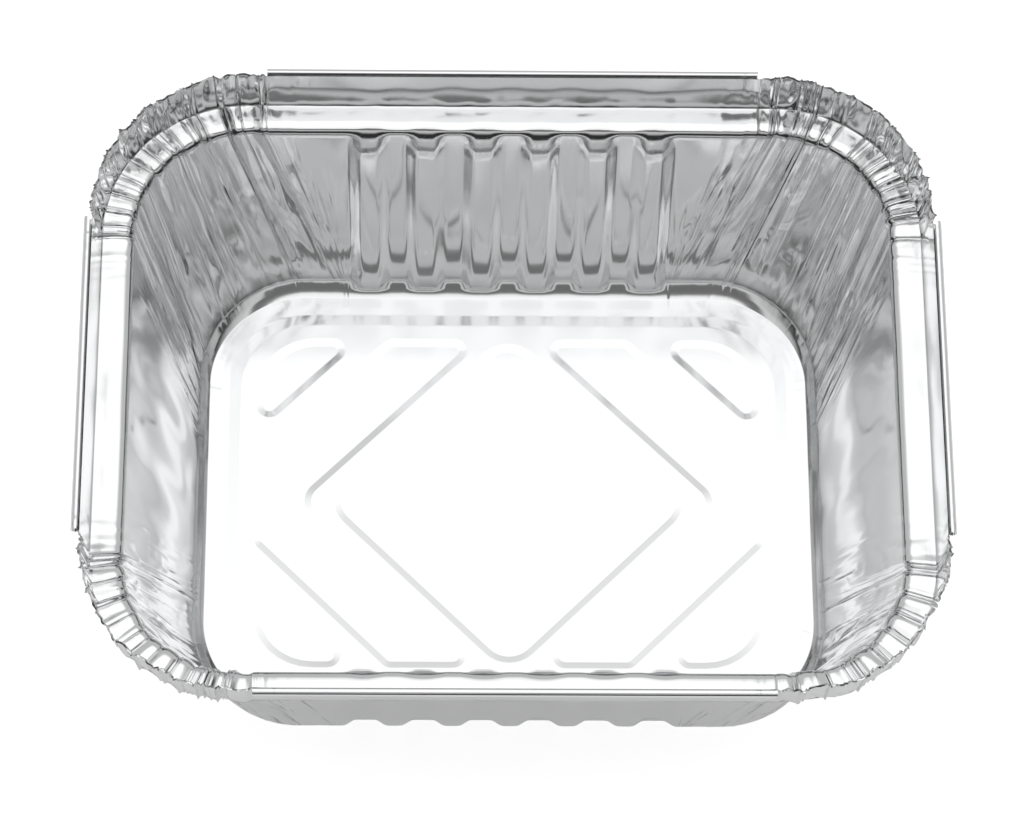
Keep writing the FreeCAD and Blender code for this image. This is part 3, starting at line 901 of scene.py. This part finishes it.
for sign_x in (1, -1):
    shapes.append(("chevron", [(sign_x * x, y, r) for x, y, r in chevron_corners]))
    for sign_y in (1, -1):
        shapes.append(("corner_panel", [(sign_x * x, sign_y * y, r) for x, y, r in triangle_corners]))
print("panels", [name for name, _ in shapes])

# %% [markdown]
# Each panel is pressed down from the height of the field, then all are joined. Fill closes the flats:
# first the field's ribs between the panels, then the band between the field and the walls' foot.

# %% Sunk panels and flats
PANEL_DROP = 0.26
PANEL_SLOPE = 1.4


def fill_flat(obj, z):
    """Fill between the boundary edges that lie at this height."""
    edit(obj)
    bpy.context.tool_settings.mesh_select_mode = (False, True, False)
    bpy.ops.mesh.select_all(action="DESELECT")
    bpy.ops.mesh.select_non_manifold(extend=False, use_wire=False, use_multi_face=False,
                                     use_non_contiguous=False, use_verts=False)
    bpy.ops.object.mode_set(mode="OBJECT")
    for edge in obj.data.edges:
        heights = [obj.data.vertices[index].co.z / MM for index in edge.vertices]
        if max(abs(height - z) for height in heights) > 0.01:
            edge.select = False
    bpy.ops.object.mode_set(mode="EDIT")
    bpy.ops.mesh.fill(use_beauty=True)
    bpy.ops.object.mode_set(mode="OBJECT")


def join(objects):
    """Join the objects into the first one."""
    deselect()
    for obj in objects:
        obj.select_set(True)
    bpy.context.view_layer.objects.active = objects[0]
    bpy.ops.object.join()
    return objects[0]


panels = []
for name, corners in shapes:
    panel = polygon(name, corners, FIELD_RISE)
    press(panel, PANEL_SLOPE, -PANEL_DROP)
    panels.append(panel)
base = join([field] + panels)
fill_flat(base, FIELD_RISE)
tray = join([tray, base])
fill_flat(tray, 0.0)
print("faces with the base", len(tray.data.polygons))

# %% [markdown]
# The sheet is complete, still without thickness. Doubles are merged and the normals made consistent
# first, and then Solidify gives it the thickness of tray foil. The sheet is the foil's middle, so it is
# lifted by half the thickness to stand on the floor. The angle of smooth shading is small enough to keep
# the creases sharp, and the large flats of the base stay flat.

# %% Give the foil its thickness
CREASE_ANGLE = math.radians(35)
edit(tray)
bpy.ops.mesh.select_all(action="SELECT")
bpy.ops.mesh.remove_doubles(threshold=DOUBLE)
bpy.ops.mesh.normals_make_consistent(inside=False)
bpy.ops.object.mode_set(mode="OBJECT")
lift = FOIL / 2 * MM
for vertex in tray.data.vertices:
    vertex.co.z += lift
thicken = tray.modifiers.new("foil thickness", "SOLIDIFY")
thicken.thickness = FOIL * MM
thicken.offset = 0
activate(tray)
bpy.ops.object.modifier_apply(modifier=thicken.name)
bpy.ops.object.shade_smooth_by_angle(angle=CREASE_ANGLE)
for face in tray.data.polygons:
    if len(face.vertices) > 4:
        face.use_smooth = False
print("triangles", sum(len(face.vertices) - 2 for face in tray.data.polygons))

# %% [markdown]
# The finished sheet takes the place of the CAD's tray. It rides on the one body there is.

# %% Take the CAD's place
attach(tray, "root")
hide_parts("foil_tray")
print(tray.name, "stands for foil_tray")

# %% [markdown]
# Rolled foil is bare aluminium: almost a mirror, blurred a little by the mill's rolls. A Principled
# shader with Metallic at 1 gives that. Its small marks are too fine to model, so they are bump, drawn on
# the flat blank: ridged noise, stretched up the wall, makes the sharp little creases of a corner, and a
# much finer layer is the grain of rolling. Slow waves bend the reflections of the flat walls.

# %% Foil shader
foil = bpy.data.materials.new("bright_rolled_foil")
foil.use_nodes = True
foil_nodes = foil.node_tree.nodes
foil_links = foil.node_tree.links
foil_nodes.clear()
foil_output = foil_nodes.new("ShaderNodeOutputMaterial")
shader = foil_nodes.new("ShaderNodeBsdfPrincipled")
shader.inputs["Metallic"].default_value = 1.0
shader.inputs["Base Color"].default_value = (0.91, 0.915, 0.92, 1)
shader.inputs["Roughness"].default_value = 0.12
foil_links.new(shader.outputs["BSDF"], foil_output.inputs["Surface"])
blank_place = foil_nodes.new("ShaderNodeUVMap")
blank_place.uv_map = "blank"
gather_mask = foil_nodes.new("ShaderNodeAttribute")
gather_mask.attribute_name = "gather"
print("material", foil.name)

# %% [markdown]
# One helper makes a layer of ridges, with its scale across and up the blank, and another lays a bump on
# top of the normal before it. The two layers of creases fade out with the gather map.

# %% Creases, grain and waves
CREASE_BEND = 0.35


def crease_layer(name, across, along, turn, detail):
    """Sharp ridges that run up the blank, from ridged noise stretched that way."""
    stretch = foil_nodes.new("ShaderNodeMapping")
    stretch.inputs["Scale"].default_value = (across, along, 1)
    stretch.inputs["Rotation"].default_value = (0, 0, math.radians(turn))
    foil_links.new(blank_place.outputs["UV"], stretch.inputs["Vector"])
    ridges = foil_nodes.new("ShaderNodeTexNoise")
    ridges.name = name
    ridges.noise_type = "RIDGED_MULTIFRACTAL"
    ridges.inputs["Scale"].default_value = 1.0
    ridges.inputs["Detail"].default_value = detail
    ridges.inputs["Distortion"].default_value = CREASE_BEND
    foil_links.new(stretch.outputs["Vector"], ridges.inputs["Vector"])
    return ridges.outputs["Fac"]


def wave_layer(name, scale):
    """Smooth waves on the blank."""
    waves = foil_nodes.new("ShaderNodeTexNoise")
    waves.name = name
    waves.inputs["Scale"].default_value = scale
    waves.inputs["Detail"].default_value = 0.0
    foil_links.new(blank_place.outputs["UV"], waves.inputs["Vector"])
    return waves.outputs["Fac"]


def bump_with(height, strength, distance, normal=None):
    """Bump by a height in metres at a strength, which is a number or a mask, over an earlier normal."""
    bump = foil_nodes.new("ShaderNodeBump")
    bump.inputs["Distance"].default_value = distance
    foil_links.new(height, bump.inputs["Height"])
    if isinstance(strength, float):
        bump.inputs["Strength"].default_value = strength
    else:
        foil_links.new(strength, bump.inputs["Strength"])
    if normal:
        foil_links.new(normal, bump.inputs["Normal"])
    return bump.outputs["Normal"]


in_corner = gather_mask.outputs["Fac"]
normal = bump_with(crease_layer("long creases", 420, 45, 8, 2.0), in_corner, 0.00065)
normal = bump_with(crease_layer("slanting creases", 260, 110, -28, 2.0), in_corner, 0.0004, normal)
normal = bump_with(crease_layer("rolling grain", 1500, 40, 0, 1.0), 0.04, 0.00006, normal)
normal = bump_with(wave_layer("slow waves", 62), 0.5, 0.0011, normal)
foil_links.new(normal, shader.inputs["Normal"])
tray.data.materials.clear()
tray.data.materials.append(foil)
print("nodes in the foil", len(foil_nodes))

# %% [markdown]
# The floor is a wide sheet of white paper. Its matt surface takes the tray's shadow. A glow that only
# the camera sees in full lifts it to white, and the foil sees a part of that glow, so the outside of the
# walls stays grey against it.

# %% Floor
FLOOR_SIZE = 6
FLOOR_WHITE = 0.85
FLOOR_GLOW = 0.75
GLOW_IN_METAL = 0.3

deselect()
bpy.ops.mesh.primitive_plane_add(size=FLOOR_SIZE, location=(0, 0, 0))
floor = bpy.context.object
floor.name = "floor"
paper = bpy.data.materials.new("white_floor")
paper.use_nodes = True
paper_nodes = paper.node_tree.nodes
paper_links = paper.node_tree.links
paper_nodes.clear()
paper_output = paper_nodes.new("ShaderNodeOutputMaterial")
matt = paper_nodes.new("ShaderNodeBsdfDiffuse")
matt.inputs["Color"].default_value = (FLOOR_WHITE, FLOOR_WHITE, FLOOR_WHITE, 1)
glow = paper_nodes.new("ShaderNodeEmission")
path = paper_nodes.new("ShaderNodeLightPath")
through = paper_nodes.new("ShaderNodeMath")
through.operation = "ADD"
paper_links.new(path.outputs["Is Glossy Ray"], through.inputs[0])
paper_links.new(path.outputs["Is Transmission Ray"], through.inputs[1])
seen = paper_nodes.new("ShaderNodeMath")
seen.operation = "MULTIPLY_ADD"
seen.inputs[1].default_value = GLOW_IN_METAL
paper_links.new(through.outputs[0], seen.inputs[0])
paper_links.new(path.outputs["Is Camera Ray"], seen.inputs[2])
lifted = paper_nodes.new("ShaderNodeMath")
lifted.operation = "MULTIPLY"
lifted.inputs[1].default_value = FLOOR_GLOW
paper_links.new(seen.outputs[0], lifted.inputs[0])
paper_links.new(lifted.outputs[0], glow.inputs["Strength"])
both = paper_nodes.new("ShaderNodeAddShader")
paper_links.new(matt.outputs[0], both.inputs[0])
paper_links.new(glow.outputs[0], both.inputs[1])
paper_links.new(both.outputs[0], paper_output.inputs["Surface"])
floor.data.materials.append(paper)
print("floor", FLOOR_SIZE, "m wide")

# %% [markdown]
# A mirror looks like what stands round it, so the world is drawn as a studio: dark near the floor, brighter
# with height, and white overhead. All rays see the same world. The steps of the ramp are elevations in
# degrees, each with its level.

# %% World
SKY = ((0, 0.02), (27, 0.03), (37, 0.44), (45, 0.56), (52, 0.68), (60, 1.0), (70, 1.02))

world = bpy.data.worlds.new("studio")
bpy.context.scene.world = world
world.use_nodes = True
world_nodes = world.node_tree.nodes
world_links = world.node_tree.links
world_nodes.clear()
world_output = world_nodes.new("ShaderNodeOutputWorld")
sky = world_nodes.new("ShaderNodeBackground")
direction = world_nodes.new("ShaderNodeTexCoord")
split = world_nodes.new("ShaderNodeSeparateXYZ")
levels = world_nodes.new("ShaderNodeValToRGB")
world_links.new(direction.outputs["Generated"], split.inputs[0])
world_links.new(split.outputs["Z"], levels.inputs["Fac"])
steps = levels.color_ramp.elements
while len(steps) < len(SKY):
    steps.new(0.5)
for step, (elevation, level) in zip(steps, SKY):
    step.position = math.sin(math.radians(elevation))
    step.color = (level, level, level, 1)
print("levels of the world", len(steps))

# %% [markdown]
# In front and overhead a dark strip stands for the camera and its stand, which shows in the foil as the
# dark line at the walls' foot. Behind the tray a pale wall keeps the tops of the ribs light. Both are soft
# masks of the direction, and the masks are joined with plain sums.

# %% Dark strip and pale wall
STRIP_ELEVATIONS = (48.5, 51.5, 62, 66)
STRIP_SIDES = (0.42, 0.6)
STRIP_LEVEL = 0.17
WALL_LEVEL = 0.52


def sky_mask(value, start, end, first, last):
    """A soft step of a world direction between two bounds."""
    step = world_nodes.new("ShaderNodeMapRange")
    step.interpolation_type = "SMOOTHSTEP"
    step.inputs["From Min"].default_value = start
    step.inputs["From Max"].default_value = end
    step.inputs["To Min"].default_value = first
    step.inputs["To Max"].default_value = last
    world_links.new(value, step.inputs["Value"])
    return step.outputs["Result"]


def sky_math(operation, first, second=None):
    """One sum on world directions."""
    node = world_nodes.new("ShaderNodeMath")
    node.operation = operation
    world_links.new(first, node.inputs[0])
    if second is not None:
        world_links.new(second, node.inputs[1])
    return node.outputs[0]


heights = [math.sin(math.radians(elevation)) for elevation in STRIP_ELEVATIONS]
lower = sky_mask(split.outputs["Z"], heights[0], heights[1], 0, 1)
upper = sky_mask(split.outputs["Z"], heights[2], heights[3], 1, 0)
front = sky_mask(split.outputs["Y"], -0.15, 0.0, 1, 0)
sides = sky_mask(sky_math("ABSOLUTE", split.outputs["X"]), STRIP_SIDES[0], STRIP_SIDES[1], 1, 0)
strip = sky_math("MULTIPLY", sky_math("MULTIPLY", lower, upper), sky_math("MULTIPLY", front, sides))
shade = sky_mask(strip, 0.0, 1.0, 1.0, STRIP_LEVEL)
wall = sky_mask(split.outputs["Y"], 0.0, 0.4, 0.0, WALL_LEVEL)
world_links.new(sky_math("MAXIMUM", levels.outputs["Color"], wall), sky.inputs["Color"])
world_links.new(shade, sky.inputs["Strength"])
world_links.new(sky.outputs[0], world_output.inputs["Surface"])
print("nodes in the world", len(world_nodes))

# %% [markdown]
# One large round softbox above and behind gives the shadow on the floor its soft edge. It is weak, because
# the world does most of the lighting.

# %% Softbox
lamp = bpy.data.lights.new("softbox", "AREA")
lamp.shape = "DISK"
lamp.size = 0.9
lamp.energy = 0.25
softbox = bpy.data.objects.new("softbox", lamp)
bpy.context.collection.objects.link(softbox)
softbox.location = (0.1, 0.3, 1.0)
softbox.rotation_euler = (-softbox.location).to_track_quat("-Z", "Y").to_euler()
print("softbox", lamp.size, "m across,", lamp.energy, "W")

# %% [markdown]
# The camera looks down from the front at the photograph's angle, from far enough away that the sides
# hardly converge. Its angles, distance and focal length were fitted to the edges of the rim, the ledge
# and the base. The focal length is in pixels of an image 1024 wide.

# %% Camera
CAMERA_ELEVATION = math.radians(64.484)
CAMERA_AZIMUTH = math.radians(-2.399)
CAMERA_ROLL = math.radians(2.448)
CAMERA_DISTANCE = 793.346
CAMERA_TARGET = Vector((0.686, 17.746, 0.0))
FOCAL_PIXELS = 4410.831
IMAGE_WIDTH = 1024
SENSOR = 36.0

camera_data = bpy.data.cameras.new("camera")
camera_data.sensor_width = SENSOR
camera_data.lens = FOCAL_PIXELS / IMAGE_WIDTH * SENSOR
camera_data.clip_start = 0.01
camera_data.clip_end = 20
camera = bpy.data.objects.new("camera", camera_data)
bpy.context.collection.objects.link(camera)
back = Vector((
    math.sin(CAMERA_AZIMUTH) * math.cos(CAMERA_ELEVATION),
    -math.cos(CAMERA_AZIMUTH) * math.cos(CAMERA_ELEVATION),
    math.sin(CAMERA_ELEVATION),
))
camera.location = (CAMERA_TARGET + back * CAMERA_DISTANCE) * MM
level_right = (-back).cross(Vector((0, 0, 1))).normalized()
level_up = level_right.cross(-back)
rolled_right = level_right * math.cos(CAMERA_ROLL) + level_up * math.sin(CAMERA_ROLL)
rolled_up = level_up * math.cos(CAMERA_ROLL) - level_right * math.sin(CAMERA_ROLL)
camera.rotation_mode = "QUATERNION"
camera.rotation_quaternion = Matrix((rolled_right, rolled_up, back)).transposed().to_quaternion()
bpy.context.scene.camera = camera
bpy.context.scene.view_settings.view_transform = "Standard"
print("lens", round(camera_data.lens, 1), "mm at", round(CAMERA_DISTANCE), "mm from the tray")
